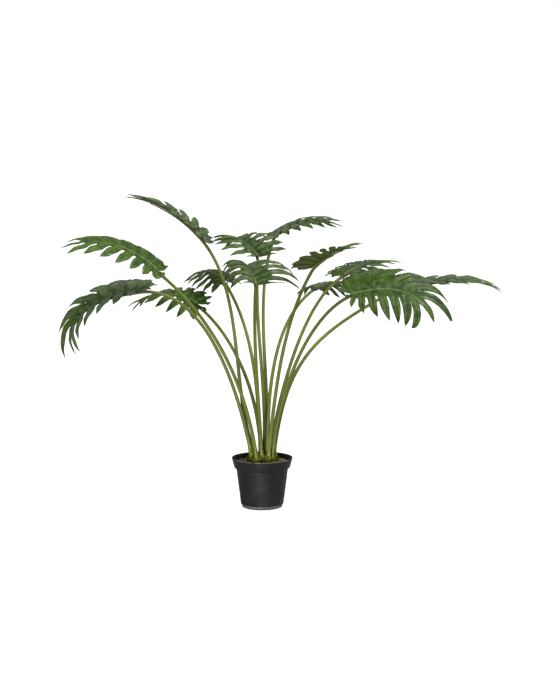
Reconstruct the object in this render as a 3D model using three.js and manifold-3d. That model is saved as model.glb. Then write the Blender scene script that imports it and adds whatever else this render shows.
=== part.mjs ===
// A split-leaf philodendron (philodendron selloum) in its plain nursery pot.
// Millimetres, +Z up. The origin is the centre of the pot's underside.
import * as THREE from "three";
import { mergeVertices } from "three/addons/utils/BufferGeometryUtils.js";
import Module from "manifold-3d";

const wasm = await Module();
wasm.setup();

// Pot: a tapered thin-walled body with a flared collar and a stepped foot.
const POT_HEIGHT = 140;
const RIM_RADIUS = 86;
const COLLAR_HEIGHT = 28;
const COLLAR_LOW_RADIUS = 78.5;
const BODY_TOP_RADIUS = 72.8;
const BODY_LOW_RADIUS = 60;
const FOOT_HEIGHT = 8;
const FOOT_RADIUS = 57.5;
const WALL = 1.8;
const FLOOR = 3;
const POT_SIDES = 40;
const DRAIN_COUNT = 8;
const DRAIN_RADIUS = 5;
const DRAIN_CIRCLE = 42;

// Soil: fills the pot to a little below the rim, with a plain hole for each stem.
const SOIL_TOP = 127;
const ROOT_DEPTH = 60;
const HOLE_SIDES = 8;
const GAP = 0.3;

// Petioles: hexagonal in section here, with a clasping sheath at the foot.
const SIDES = 6;
const ROOT_RADIUS = 5.6;
const SHEATH_RADIUS = 7.2;
const PETIOLE_LOW_RADIUS = 5.4;
const PETIOLE_TOP_RADIUS = 4.3;
const MIDRIB_TIP_RADIUS = 1.2;
const MIDRIB_REACH = 0.72;
const ELBOW = 14;
const SHEATH_HEIGHTS = [22, 31, 40, 49];

// Blades: deeply cut, with this many finger lobes on each side and one at the tip.
const LOBES = 8;
const THICKNESS = 1.2;
const LOBE_HALF_WIDTHS = [0.026, 0.05];
const LOBE_FILL = 0.72;
const LAST_LOBE_ANGLE = 32;
const LOBE_CURL = 30;
const LAST_LOBE_START = 0.66;
const LOBE_CROWDING = 1.4;
const BASAL_REACH = 0.17;
const DISTAL_CUT = 0.2;
const TIP_LOBE_START = 0.71;
const MIDRIB_STEPS = 60;
const STEPS_BEHIND = 27;
const SAG_REACH = 0.28;

// One entry for each frond. foot, low, high and neck are the petiole's Bezier points.
// heading, rise and roll aim the blade at its neck, droop and bend arch its midrib towards
// the tip, back lifts the lobes behind the neck, and splay is the angle between the first
// lobe and the tip. length is the blade's, and reach, as a share of it, the last side
// lobe's. Each of these has a value for the left and the right half: width scales the lobes
// near the neck, fold is the slope at the midrib, sag its growth towards the edge, at
// SAG_REACH of the length out, and cuts how far out the basal lobes stay joined. Angles are
// in degrees.
const FRONDS = [
  { foot: [-20, 15, 140], low: [-90, 15, 325], high: [-45, 25, 595], neck: [-160, 40, 745],
    heading: 176, rise: 49, droop: 40, bend: 1, back: 600, roll: -20, twist: 10, splay: 150,
    length: 258, reach: 0.34, width: [0.9, 0.85], fold: [-28, -4], sag: [6, 14], cuts: [0.7, 0.6] },
  { foot: [-15, -20, 135], low: [-40, -25, 340], high: [-130, -80, 545], neck: [-275, -150, 675],
    heading: 186, rise: 45, droop: 67, bend: 1.1, back: 700, roll: -30, twist: 14, splay: 150,
    length: 278, reach: 0.34, width: [0.5, 1.0], fold: [-8, -8], sag: [34, 44], cuts: [0.76, 0.85] },
  { foot: [-29, -3, 140], low: [-55, -5, 285], high: [-140, -35, 620], neck: [-325, -60, 615],
    heading: 182, rise: -10, droop: 114, bend: 2.2, back: -40, roll: -16, twist: -22, splay: 150,
    length: 305, reach: 0.38, width: [0.6, 0.8], fold: [-24, -12], sag: [24, 24], cuts: [0.6, 0.95] },
  { foot: [-5, 25, 140], low: [-5, 30, 300], high: [-74, 110, 470], neck: [-189, 185, 556],
    heading: 160, rise: 33, droop: 80, bend: 1, back: 230, roll: -15, twist: 35, splay: 150,
    length: 232, reach: 0.34, width: [1.15, 1.15], fold: [-5, -30], sag: [46, 40], cuts: [0.6, 0.6] },
  { foot: [-5, 10, 140], low: [-10, 15, 310], high: [-20, 95, 490], neck: [-111, 178, 625],
    heading: 126, rise: 28, droop: 62, bend: 1, back: 100, roll: -15, twist: 0, splay: 150,
    length: 204, reach: 0.34, width: [1.15, 1.15], fold: [0, 0], sag: [36, 45], cuts: [0.6, 0.6] },
  { foot: [0, -10, 130], low: [-10, -20, 315], high: [-25, -105, 490], neck: [-13, -210, 640],
    heading: 102, rise: 34, droop: 64, bend: 1, back: 250, roll: 0, twist: 0, splay: 125,
    length: 250, reach: 0.34, width: [1.45, 2.2], fold: [-62, -38], sag: [110, 46], cuts: [0.5, 0.34] },
  { foot: [5, 40, 135], low: [15, 40, 335], high: [-25, 35, 520], neck: [-10, 30, 700],
    heading: 116, rise: 34, droop: 60, bend: 1, back: 200, roll: -6, twist: 0, splay: 120,
    length: 240, reach: 0.34, width: [1.5, 1.45], fold: [-46, -38], sag: [54, 46], cuts: [0.5, 0.5] },
  { foot: [5, 57, 130], low: [35, 55, 310], high: [-36, 175, 564], neck: [30, 250, 751],
    heading: -10, rise: 35, droop: 54, bend: 1, back: 500, roll: 10, twist: 4, splay: 150,
    length: 215, reach: 0.34, width: [1.15, 0.9], fold: [-12, -12], sag: [20, 30], cuts: [0.76, 0.85] },
  { foot: [15, 15, 135], low: [15, 20, 295], high: [20, 95, 515], neck: [150, 170, 606],
    heading: 60, rise: 10, droop: 25, bend: 1, back: 0, roll: 0, twist: 0, splay: 150,
    length: 240, reach: 0.34, width: [1, 1], fold: [0, 0], sag: [45, 45], cuts: [0.7, 0.7] },
  { foot: [17, -29, 135], low: [35, -30, 325], high: [55, -100, 530], neck: [135, -190, 685],
    heading: -52, rise: 33, droop: 30, bend: 1, back: 150, roll: 0, twist: 0, splay: 150,
    length: 188, reach: 0.34, width: [1.3, 1.3], fold: [-28, -16], sag: [15, 15], cuts: [0.9, 0.9] },
  { foot: [25, 32, 135], low: [30, 30, 250], high: [110, 50, 590], neck: [230, 60, 650],
    heading: 50, rise: 20, droop: 30, bend: 1, back: 90, roll: 0, twist: 0, splay: 150,
    length: 240, reach: 0.34, width: [1, 1], fold: [-13, -14], sag: [30, 30], cuts: [0.8, 0.8] },
  { foot: [28, -14, 130], low: [40, -15, 300], high: [115, -125, 550], neck: [236, -230, 618],
    heading: -12, rise: 14, droop: 92, bend: 1.8, back: 60, roll: 42, twist: 0, splay: 150,
    length: 258, reach: 0.5, width: [0.8, 0.45], fold: [-30, 18], sag: [60, 30], cuts: [0.97, 0.4] },
  { foot: [32, 4, 140], low: [65, 10, 420], high: [145, 15, 485], neck: [375, 30, 615],
    heading: 4, rise: 9, droop: 42, bend: 2.5, back: 0, roll: 8, twist: 0, splay: 150,
    length: 310, reach: 0.34, width: [0.62, 0.68], fold: [-8, -14], sag: [16, 16], cuts: [0.7, 0.6] },
];

const vec = (p) => new THREE.Vector3(p[0], p[1], p[2]);
const rad = THREE.MathUtils.degToRad;
const lerp = THREE.MathUtils.lerp;
const distance = (p, q) => Math.hypot(p[0] - q[0], p[1] - q[1]);

// The blade's flat outline: a runs along the midrib from the neck, b to one side.

// Lobe i leaves the midrib at a, at an angle phi from the tip's direction, for a length.
function lobe(i, half, frond) {
  const { length, width } = frond;
  const x = i / (LOBES - 1);
  const swell = lerp(BASAL_REACH, frond.reach, x) + 0.13 * Math.sin(Math.PI * x ** 0.8);
  return {
    a: length * LAST_LOBE_START * x ** LOBE_CROWDING,
    phi: rad(lerp(frond.splay, LAST_LOBE_ANGLE, x ** 0.64)),
    reach: length * lerp(width[half], 1, x) * swell,
  };
}

// A point on the centre line of lobe i, which curls towards the tip; u is 0 to 1.
function lobeCentre(i, u, half, frond) {
  if (i === LOBES) return [frond.length * lerp(TIP_LOBE_START, 1, u), 0];
  const { a, phi, reach } = lobe(i, half, frond);
  const curl = rad(LOBE_CURL) * lerp(0.5, 1, Math.min(1, i / 3));
  const from = phi + curl * 0.4;
  const to = from - curl * u;
  return [
    a + (reach * (Math.sin(from) - Math.sin(to))) / curl,
    (reach * (Math.cos(to) - Math.cos(from))) / curl,
  ];
}

// The line between lobe i - 1 and lobe i; 0 is the basal edge and LOBES the tip lobe's.
function seam(i, u, half, frond) {
  if (i === 0) {
    const { phi, reach } = lobe(0, half, frond);
    const angle = phi + rad(8);
    return [u * reach * 0.9 * Math.cos(angle), u * reach * 0.9 * Math.sin(angle)];
  }
  const before = lobeCentre(i - 1, u, half, frond);
  const after = lobeCentre(i, u, half, frond);
  return [(before[0] + after[0]) / 2, (before[1] + after[1]) / 2];
}

// How far out along its lobes the cut between lobe i - 1 and lobe i ends. A half that is
// cut little at its base stays whole for more lobes before the cuts deepen.
function cutDepth(i, half, { cuts }) {
  const whole = 1 + 10 * Math.max(0, cuts[half] - 0.8);
  return lerp(cuts[half], DISTAL_CUT, THREE.MathUtils.smoothstep(i, whole, whole + 3.5));
}

// Half width of free lobe i, against 1 at the cut; t is 0 at the cut and 1 at the tip.
function lobeProfile(i, t) {
  return (1 + 0.35 * t - 0.25 * t * t) * (1 - t ** lerp(1.5, 3, Math.min(1, i / 4)));
}

const LOBE_STEPS = [0.16, 0.4, 0.66, 0.86];

// The two edges of lobe i from its cuts outwards, and its tip. Lobe LOBES is the tip's.
function lobeEdges(i, half, frond) {
  const low = cutDepth(i, half, frond);
  const high = i === LOBES ? low : cutDepth(i + 1, half, frond);
  const middle = (low + high) / 2;
  const first = seam(i, low, half, frond);
  const last = i === LOBES ? [first[0], -first[1]] : seam(i + 1, high, half, frond);
  const rootHalf = distance(first, last) / 2;
  const [least, most] = LOBE_HALF_WIDTHS.map((share) => share * frond.length);
  const widest = THREE.MathUtils.clamp(rootHalf * 0.85, least, most);
  const edges = LOBE_STEPS.map((t) => {
    const u = middle + (1 - middle) * t;
    const c = lobeCentre(i, u, half, frond);
    const d = lobeCentre(i, u + 0.01, half, frond);
    const run = distance(c, d);
    const before = seam(i, u, half, frond);
    const after = i === LOBES ? before : seam(i + 1, u, half, frond);
    const full = widest * lobeProfile(i, t);
    const halves = [before, after].map((p) => Math.min(full, LOBE_FILL * distance(p, c)));
    if (i === 0) halves[0] = full;
    const across = [-(d[1] - c[1]) / run, (d[0] - c[0]) / run];
    return [
      [c[0] + across[0] * halves[0], c[1] + across[1] * halves[0]],
      [c[0] - across[0] * halves[1], c[1] - across[1] * halves[1]],
    ];
  });
  return { rows: [[first, last], ...edges], tip: lobeCentre(i, 1, half, frond) };
}

// The midrib's curve in space, sampled from behind the neck to the tip.
class Midrib {
  constructor(frond) {
    this.frond = frond;
    this.step = frond.length / MIDRIB_STEPS;
    this.first = -STEPS_BEHIND * this.step;
    const samples = STEPS_BEHIND + MIDRIB_STEPS + 1;
    this.tangents = [];
    this.sides = [];
    this.normals = [];
    for (let k = 0; k <= samples; k += 1) {
      const x = (k - STEPS_BEHIND) / MIDRIB_STEPS;
      const pitch = rad(x < 0 ? frond.rise + frond.back * x : frond.rise - frond.droop * x ** frond.bend);
      const heading = rad(frond.heading);
      const roll = rad(frond.roll + frond.twist * THREE.MathUtils.clamp(x, 0, 1));
      const tangent = new THREE.Vector3(
        Math.cos(pitch) * Math.cos(heading),
        Math.cos(pitch) * Math.sin(heading),
        Math.sin(pitch),
      );
      const level = new THREE.Vector3(-Math.sin(heading), Math.cos(heading), 0);
      const up = new THREE.Vector3().crossVectors(tangent, level);
      this.tangents.push(tangent);
      this.sides.push(level.clone().multiplyScalar(Math.cos(roll)).addScaledVector(up, Math.sin(roll)));
      this.normals.push(up.clone().multiplyScalar(Math.cos(roll)).addScaledVector(level, -Math.sin(roll)));
    }
    this.points = new Array(samples + 1);
    this.points[STEPS_BEHIND] = vec(frond.neck);
    for (let k = STEPS_BEHIND + 1; k <= samples; k += 1) this.points[k] = this.next(k - 1, k, 1);
    for (let k = STEPS_BEHIND - 1; k >= 0; k -= 1) this.points[k] = this.next(k + 1, k, -1);
  }

  next(from, to, direction) {
    const mean = this.tangents[from].clone().add(this.tangents[to]);
    return this.points[from].clone().addScaledVector(mean, (direction * this.step) / 2);
  }

  at(list, a) {
    const place = THREE.MathUtils.clamp((a - this.first) / this.step, 0, list.length - 1.001);
    const k = Math.floor(place);
    return list[k].clone().lerp(list[k + 1], place - k);
  }

  // Lays the flat point (a, b) on the folded and sagging blade.
  fold(a, b) {
    const half = b > 0 ? 0 : 1;
    const slope = rad(this.frond.fold[half]);
    const growth = rad(this.frond.sag[half]) / (SAG_REACH * this.frond.length);
    const end = slope + growth * Math.abs(b);
    const out = (Math.sin(end) - Math.sin(slope)) / growth;
    const down = (Math.cos(slope) - Math.cos(end)) / growth;
    return this.at(this.points, a)
      .addScaledVector(this.at(this.sides, a), b > 0 ? out : -out)
      .addScaledVector(this.at(this.normals, a), -down);
  }

  // A point of the midrib rod, which runs close under the blade.
  under(a, radius) {
    const drop = (radius + THICKNESS / 2 + GAP) * 1.1;
    return this.at(this.points, a).addScaledVector(this.at(this.normals, a), -drop);
  }
}

// Gathers triangles over shared corners.
class Sheet {
  constructor() {
    this.corners = [];
    this.keys = new Map();
    this.triangles = [];
  }

  corner(point) {
    const key = [point.x, point.y, point.z].map((value) => value.toFixed(3)).join();
    if (!this.keys.has(key)) {
      this.keys.set(key, this.corners.length);
      this.corners.push(point);
    }
    return this.keys.get(key);
  }

  triangle(p, q, r) {
    const face = [this.corner(p), this.corner(q), this.corner(r)];
    if (new Set(face).size === 3) this.triangles.push(face);
  }

  quad(p, q, r, s) {
    this.triangle(p, q, r);
    this.triangle(p, r, s);
  }

  // The sheet given a thickness: both faces are split alike, and walls close its edge.
  thicken(thickness) {
    const normals = this.corners.map(() => new THREE.Vector3());
    const edges = new Map();
    for (const face of this.triangles) {
      const [p, q, r] = face.map((index) => this.corners[index]);
      const normal = new THREE.Vector3().crossVectors(q.clone().sub(p), r.clone().sub(p));
      face.forEach((index, k) => {
        normals[index].add(normal);
        edges.set(`${index},${face[(k + 1) % 3]}`, [index, face[(k + 1) % 3]]);
      });
    }
    const count = this.corners.length;
    const positions = [];
    for (const side of [1, -1]) {
      this.corners.forEach((corner, index) => {
        const shift = normals[index].clone().normalize().multiplyScalar((side * thickness) / 2);
        positions.push(...corner.clone().add(shift).toArray());
      });
    }
    const indices = [];
    for (const [p, q, r] of this.triangles) {
      indices.push(p, q, r, p + count, r + count, q + count);
    }
    for (const [p, q] of edges.values()) {
      if (!edges.has(`${q},${p}`)) indices.push(p, q + count, q, p, p + count, q + count);
    }
    return solid(positions, indices);
  }
}

function solid(positions, indices) {
  const geometry = new THREE.BufferGeometry();
  geometry.setAttribute("position", new THREE.Float32BufferAttribute(positions, 3));
  geometry.setIndex(indices);
  return geometry;
}

// A blade: a web along the midrib, and the finger lobes that it is cut into.
function bladeGeometry(midrib) {
  const { frond } = midrib;
  const sheet = new Sheet();
  for (const half of [0, 1]) {
    const place = ([a, b]) => midrib.fold(a, half === 0 ? b : -b);
    const quad = (p, q, r, s) => (half === 0 ? sheet.quad(p, q, r, s) : sheet.quad(s, r, q, p));
    for (let i = 0; i < LOBES; i += 1) {
      const { rows, tip } = lobeEdges(i, half, frond);
      const ends = [seam(i, 0, half, frond), seam(i + 1, 0, half, frond)];
      const all = [ends, ...rows, [tip, tip]].map((row) => row.map(place));
      for (let k = 1; k < all.length; k += 1) {
        quad(all[k - 1][0], all[k - 1][1], all[k][1], all[k][0]);
      }
    }
  }
  const { rows, tip } = lobeEdges(LOBES, 0, frond);
  const root = seam(LOBES, 0, 0, frond);
  const all = [[root, root], ...rows, [tip, tip]].map((row) => row.map(([a, b]) => midrib.fold(a, b)));
  for (let k = 1; k < all.length; k += 1) {
    sheet.quad(all[k - 1][0], all[k - 1][1], all[k][1], all[k][0]);
  }
  return sheet.thicken(THICKNESS);
}

// A closed rod of varying radius along a list of points.
function rodGeometry(points, radii) {
  const positions = [];
  const indices = [];
  const across = new THREE.Vector3(1, 0, 0);
  points.forEach((point, k) => {
    const ahead = points[Math.min(k + 1, points.length - 1)].clone();
    const tangent = ahead.sub(points[Math.max(k - 1, 0)]).normalize();
    across.addScaledVector(tangent, -across.dot(tangent)).normalize();
    const other = new THREE.Vector3().crossVectors(tangent, across);
    for (let s = 0; s < SIDES; s += 1) {
      const angle = (2 * Math.PI * s) / SIDES;
      const corner = point.clone()
        .addScaledVector(across, radii[k] * Math.cos(angle))
        .addScaledVector(other, radii[k] * Math.sin(angle));
      positions.push(...corner.toArray());
    }
  });
  const rings = points.length;
  for (let k = 0; k < rings - 1; k += 1) {
    for (let s = 0; s < SIDES; s += 1) {
      const p = k * SIDES + s;
      const q = k * SIDES + ((s + 1) % SIDES);
      indices.push(p, q, q + SIDES, p, q + SIDES, p + SIDES);
    }
  }
  for (let s = 1; s < SIDES - 1; s += 1) {
    const top = (rings - 1) * SIDES;
    indices.push(0, s + 1, s, top, top + s, top + s + 1);
  }
  return solid(positions, indices);
}

// A petiole from its root in the soil to the neck, going on as the midrib under the blade.
function petioleGeometry(midrib, sheathHeight) {
  const { foot, low, high, length } = midrib.frond;
  const top = midrib.under(0, PETIOLE_TOP_RADIUS);
  const curve = new THREE.CubicBezierCurve3(vec(foot), vec(low), vec(high), top);
  const total = curve.getLength();
  const points = [];
  const radii = [];
  const add = (point, radius) => {
    points.push(point);
    radii.push(radius);
  };
  const radiusAt = (share) => lerp(PETIOLE_LOW_RADIUS, PETIOLE_TOP_RADIUS, share);
  add(new THREE.Vector3(foot[0], foot[1], SOIL_TOP - ROOT_DEPTH), ROOT_RADIUS);
  add(new THREE.Vector3(foot[0], foot[1], SOIL_TOP + 1.5), ROOT_RADIUS);
  add(vec(foot), SHEATH_RADIUS);
  add(curve.getPointAt((sheathHeight * 0.6) / total), SHEATH_RADIUS);
  add(curve.getPointAt(sheathHeight / total), PETIOLE_LOW_RADIUS);
  const steps = 13;
  for (let k = 1; k <= steps; k += 1) {
    const share = lerp(sheathHeight, total - ELBOW, k / steps) / total;
    add(curve.getPointAt(share), radiusAt(share));
  }
  const elbow = new THREE.QuadraticBezierCurve3(
    points[points.length - 1],
    top,
    midrib.under(ELBOW, PETIOLE_TOP_RADIUS),
  );
  add(elbow.getPoint(0.35), PETIOLE_TOP_RADIUS);
  add(elbow.getPoint(0.7), PETIOLE_TOP_RADIUS);
  const ribSteps = 6;
  for (let k = 0; k <= ribSteps; k += 1) {
    const a = lerp(ELBOW, length * MIDRIB_REACH, k / ribSteps);
    const radius = lerp(PETIOLE_TOP_RADIUS, MIDRIB_TIP_RADIUS, k / ribSteps);
    add(midrib.under(a, radius), radius);
  }
  return rodGeometry(points, radii);
}

function toManifold(geometry) {
  const bare = geometry.clone();
  bare.deleteAttribute("normal");
  bare.deleteAttribute("uv");
  const merged = mergeVertices(bare, 1e-4);
  return new wasm.Manifold(new wasm.Mesh({
    numProp: 3,
    vertProperties: new Float32Array(merged.attributes.position.array),
    triVerts: new Uint32Array(merged.index.array),
  }));
}

function fromManifold(body) {
  const mesh = body.getMesh();
  return solid(Array.from(mesh.vertProperties), Array.from(mesh.triVerts));
}

// Turns a profile of [radius, height] pairs about the Z axis.
function turned(profile, sides) {
  const geometry = new THREE.LatheGeometry(profile.map(([r, z]) => new THREE.Vector2(r, z)), sides);
  return geometry.rotateX(Math.PI / 2);
}

// An upright prism from z0 to z1 at (x, y).
function post(radius, sides, x, y, z0, z1) {
  const geometry = new THREE.CylinderGeometry(radius, radius, z1 - z0, sides);
  return geometry.rotateX(Math.PI / 2).translate(x, y, (z0 + z1) / 2);
}

function potGeometry() {
  const collarLow = POT_HEIGHT - COLLAR_HEIGHT;
  const profile = [
    [0, 0],
    [FOOT_RADIUS - 4, 0],
    [FOOT_RADIUS - 1, 1.2],
    [FOOT_RADIUS, FOOT_HEIGHT],
    [BODY_LOW_RADIUS, FOOT_HEIGHT + 1.5],
    [BODY_TOP_RADIUS, collarLow - 1.5],
    [COLLAR_LOW_RADIUS - 1, collarLow],
    [COLLAR_LOW_RADIUS, collarLow + 1.5],
    [RIM_RADIUS - 1, POT_HEIGHT - 2.5],
    [RIM_RADIUS, POT_HEIGHT - 1.2],
    [RIM_RADIUS - 0.5, POT_HEIGHT],
    [RIM_RADIUS - 2, POT_HEIGHT],
    [RIM_RADIUS - 1 - WALL, POT_HEIGHT - 2],
    [COLLAR_LOW_RADIUS - WALL, collarLow + 2.5],
    [BODY_TOP_RADIUS - WALL, collarLow + 0.5],
    [BODY_LOW_RADIUS - WALL, FOOT_HEIGHT + 3],
    [FOOT_RADIUS - WALL, FOOT_HEIGHT],
    [FOOT_RADIUS - WALL - 2, FLOOR],
    [0, FLOOR],
  ];
  let body = toManifold(turned(profile, POT_SIDES));
  for (let k = 0; k < DRAIN_COUNT; k += 1) {
    const angle = (2 * Math.PI * (k + 0.5)) / DRAIN_COUNT;
    const x = DRAIN_CIRCLE * Math.cos(angle);
    const y = DRAIN_CIRCLE * Math.sin(angle);
    body = body.subtract(toManifold(post(DRAIN_RADIUS, 10, x, y, -1, FLOOR + 1)));
  }
  return fromManifold(body);
}

function soilGeometry() {
  const collarLow = POT_HEIGHT - COLLAR_HEIGHT;
  const inset = WALL + 0.5;
  const profile = [
    [0, FLOOR + 0.4],
    [FOOT_RADIUS - inset - 2.4, FLOOR + 0.4],
    [FOOT_RADIUS - inset, FOOT_HEIGHT + 0.4],
    [BODY_LOW_RADIUS - inset, FOOT_HEIGHT + 3.4],
    [BODY_TOP_RADIUS - inset, collarLow + 1],
    [COLLAR_LOW_RADIUS - inset, collarLow + 3],
    [COLLAR_LOW_RADIUS - inset + 1.6, SOIL_TOP - 3],
    [COLLAR_LOW_RADIUS - inset - 1.5, SOIL_TOP],
    [0, SOIL_TOP],
  ];
  let body = toManifold(turned(profile, POT_SIDES));
  for (const { foot } of FRONDS) {
    const radius = (ROOT_RADIUS + GAP) / Math.cos(Math.PI / HOLE_SIDES);
    const bottom = SOIL_TOP - ROOT_DEPTH - GAP;
    const hole = post(radius, HOLE_SIDES, foot[0], foot[1], bottom, SOIL_TOP + 5);
    body = body.subtract(toManifold(hole));
  }
  return fromManifold(body);
}

const MATERIALS = {
  pot: { color: 0x232426, roughness: 0.5, metalness: 0 },
  soil: { color: 0x4a3527, roughness: 1, metalness: 0 },
  petiole: { color: 0x6f7a37, roughness: 0.55, metalness: 0 },
  leaf: { color: 0x2f5527, roughness: 0.45, metalness: 0 },
};

const plant = new THREE.Group();

function place(name, geometry, look) {
  const mesh = new THREE.Mesh(geometry, new THREE.MeshStandardMaterial(MATERIALS[look]));
  mesh.name = name;
  plant.add(mesh);
}

place("pot", potGeometry(), "pot");
place("soil", soilGeometry(), "soil");
FRONDS.forEach((frond, index) => {
  const number = String(index + 1).padStart(2, "0");
  const midrib = new Midrib(frond);
  const sheathHeight = SHEATH_HEIGHTS[index % SHEATH_HEIGHTS.length];
  place(`petiole_${number}`, petioleGeometry(midrib, sheathHeight), "petiole");
  place(`leaf_${number}`, bladeGeometry(midrib), "leaf");
});

export default plant;
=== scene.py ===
"""Looks of a potted split-leaf philodendron (philodendron selloum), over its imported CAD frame.

Metres, +Z up. The origin is the centre of the pot's underside, and azimuth 0 looks along +Y.
The blades, petioles and pot repeat the CAD's driving dimensions, in millimetres, with finer meshes.
"""
import math
import random
from bisect import bisect_left

import bmesh
import bpy
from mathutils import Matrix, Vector, noise
from mathutils.geometry import interpolate_bezier


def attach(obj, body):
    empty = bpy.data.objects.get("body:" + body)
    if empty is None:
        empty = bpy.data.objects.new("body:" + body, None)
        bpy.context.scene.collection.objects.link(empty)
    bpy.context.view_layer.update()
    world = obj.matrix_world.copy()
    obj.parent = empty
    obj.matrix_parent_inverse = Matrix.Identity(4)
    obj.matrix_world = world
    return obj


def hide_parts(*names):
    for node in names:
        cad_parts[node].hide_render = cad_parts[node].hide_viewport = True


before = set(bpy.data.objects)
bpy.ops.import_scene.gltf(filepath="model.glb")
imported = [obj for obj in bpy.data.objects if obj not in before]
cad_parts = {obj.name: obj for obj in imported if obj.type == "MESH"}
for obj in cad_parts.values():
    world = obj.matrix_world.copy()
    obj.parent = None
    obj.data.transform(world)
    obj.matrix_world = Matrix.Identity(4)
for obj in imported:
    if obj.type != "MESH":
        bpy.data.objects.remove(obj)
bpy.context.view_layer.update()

MM = 0.001
WHITE = (1.0, 1.0, 1.0)

# Camera: where it stands, what it looks at, its lens in mm on a 36 mm sensor, and its reach.
CAMERA_PLACE = Vector((0.050, -4.000, 0.920))
CAMERA_AIM = Vector((0.050, 0.0, 0.443))
CAMERA_LENS = 74.47
CAMERA_REACH = 200.0

# Studio floor.
FLOOR_RADIUS = 60.0
FLOOR_SIDES = 64

# Pot.
POT_HEIGHT = 140 * MM
RIM_RADIUS = 86 * MM
COLLAR_HEIGHT = 28 * MM
COLLAR_LOW = POT_HEIGHT - COLLAR_HEIGHT
COLLAR_LOW_RADIUS = 78.5 * MM
BODY_TOP_RADIUS = 72.8 * MM
BODY_LOW_RADIUS = 60 * MM
FOOT_HEIGHT = 8 * MM
FOOT_RADIUS = 57.5 * MM
WALL = 1.8 * MM
FLOOR = 3 * MM
ROUNDING = 0.9 * MM
ROUNDING_STEPS = 4
POT_SIDES = 160
DRAIN_COUNT = 8
DRAIN_RADIUS = 5 * MM
DRAIN_CIRCLE = 42 * MM
DRAIN_SIDES = 28
# How far from each listed height an edge's scuffs and painted highlight reach.
SCUFF_AND_HIGHLIGHT_REACH = 1.6 * MM

# Soil, and the loose chips on it. CHIP_SIZES holds the least and the greatest of their half
# axes in millimetres, and CHIP_LIFT how far up a chip's middle lies, in half axes.
SOIL_TOP = 127 * MM
SOIL_GAP = 0.5 * MM
SOIL_DIP = 1.5 * MM
LUMP_HEIGHT = 2.2 * MM
LUMP_RATE = 55
CRUMB_HEIGHT = 0.7 * MM
CRUMB_RATE = 420
MOUND_HEIGHT = 2.5 * MM
MOUND_RADIUS = 45 * MM
ROOT_DEPTH = 60 * MM
SOIL_SIDES = 120
SOIL_RINGS = 34
CHIP_COUNT = 520
CHIP_CORNERS = 11
CHIP_SIZES = ((1.2, 4.4), (0.9, 2.6), (0.5, 1.5))
CHIP_CLEARANCE = 3 * MM
CHIP_LIFT = 0.45

# Petioles, and the midrib rods that they end in. SHEATH_HEIGHTS is in millimetres. The
# sheath keeps its width for SHEATH_HOLD of its height and then tapers for SHEATH_TAPER,
# and its groove, GROOVE_ANGLE radians to a side, starts to close at GROOVE_HOLD.
# RIB_SEAT is how far under the blade a rod's centre lies, against just clear of it.
ROD_SIDES = 16
ROOT_RADIUS = 5.6 * MM
SHEATH_RADIUS = 7.2 * MM
PETIOLE_LOW_RADIUS = 5.4 * MM
PETIOLE_TOP_RADIUS = 4.3 * MM
MIDRIB_TIP_RADIUS = 1.2 * MM
MIDRIB_REACH = 0.72
ELBOW = 14 * MM
SHEATH_HEIGHTS = (22, 31, 40, 49)
CURVE_SAMPLES = 120
PETIOLE_STEPS = 58
PETIOLE_CROWDING = 1.25
ROD_STEPS = 30
RIB_SEAT = 1.1
ROOT_TAPER = 8 * MM
ROOT_SWELL = 1.1
SHEATH_HOLD = 0.45
SHEATH_TAPER = 0.75
SHEATH_GROOVE = 0.16
GROOVE_ANGLE = 0.5
GROOVE_HOLD = 0.6
KNUCKLE_SWELL = 0.35 * MM
KNUCKLE_REACH = 16 * MM
RIBS = 5
RIB_DEPTH = 0.012

# Scale leaves at a petiole's foot. Each pair is a least and a greatest value: of the height
# and the flare in millimetres, of the wrap in degrees, and of a torn top's share of the height.
# BRACT_TAPER is how much of its width the top loses, and BRACT_SLOPE of its height each side.
BRACTS = 3
BRACT_ROWS = 10
BRACT_COLUMNS = 18
BRACT_HEIGHT = (16, 34)
BRACT_WRAP = (60, 100)
BRACT_FLARE = (1.5, 6.0)
BRACT_TEAR = (0.4, 1.2)
BRACT_TAPER = 0.55
BRACT_SLOPE = 0.3
BRACT_SPACING = 1.3 * MM
BRACT_PLEAT = 0.45 * MM
BRACT_THICKNESS = 0.7 * MM

# Blades, as in the CAD but for THICKNESS and the last four. Angles are in degrees, and
# the other values without a unit are counts, shares or powers.
LOBES = 8
CAD_THICKNESS = 1.2 * MM
THICKNESS = 1.0 * MM
GAP = 0.3 * MM
LOBE_HALF_WIDTH = (0.026, 0.05)
LOBE_FILL = 0.72
LAST_LOBE_ANGLE = 32
LOBE_CURL = 30
LAST_LOBE_START = 0.66
LOBE_CROWDING = 1.4
LOBE_NARROWING = 0.85
ANGLE_EASE = 0.64
BASAL_REACH = 0.17
BASAL_EDGE_ANGLE = 8
BASAL_EDGE_REACH = 0.9
MIDDLE_SWELL = 0.13
SWELL_EASE = 0.8
DISTAL_CUT = 0.2
WHOLE_BASE = 0.8
CUT_SPREAD = 3.5
TIP_LOBE_START = 0.71
MIDRIB_STEPS = 60
STEPS_BEHIND = 27
SAG_REACH = 0.28
CUT_ROUNDING = 0.09
WEB_ROWS = 6
FREE_ROWS = 14
ACROSS = (-1, -0.8, -0.55, -0.3, -0.09, 0, 0.09, 0.3, 0.55, 0.8, 1)

# How far a blade stands off its smooth form: along a lobe's vein, between lobes, in the
# middle of a lobe's half, and at its wavy margin. A half under FULL_RELIEF wide has less of
# the last two. LOBE_DROOP is the least and the greatest fall of a lobe's tip, as a share of
# the blade's length.
GROOVE_DEPTH = 0.7 * MM
GROOVE_WIDTH = 1.3 * MM
PLEAT_HEIGHT = 2.8 * MM
PUFF_HEIGHT = 2.3 * MM
WAVE_HEIGHT = 2.0 * MM
WAVE_RATE = 11
FULL_RELIEF = 12 * MM
LOBE_DROOP = (-0.0045, 0.0135)
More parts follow.
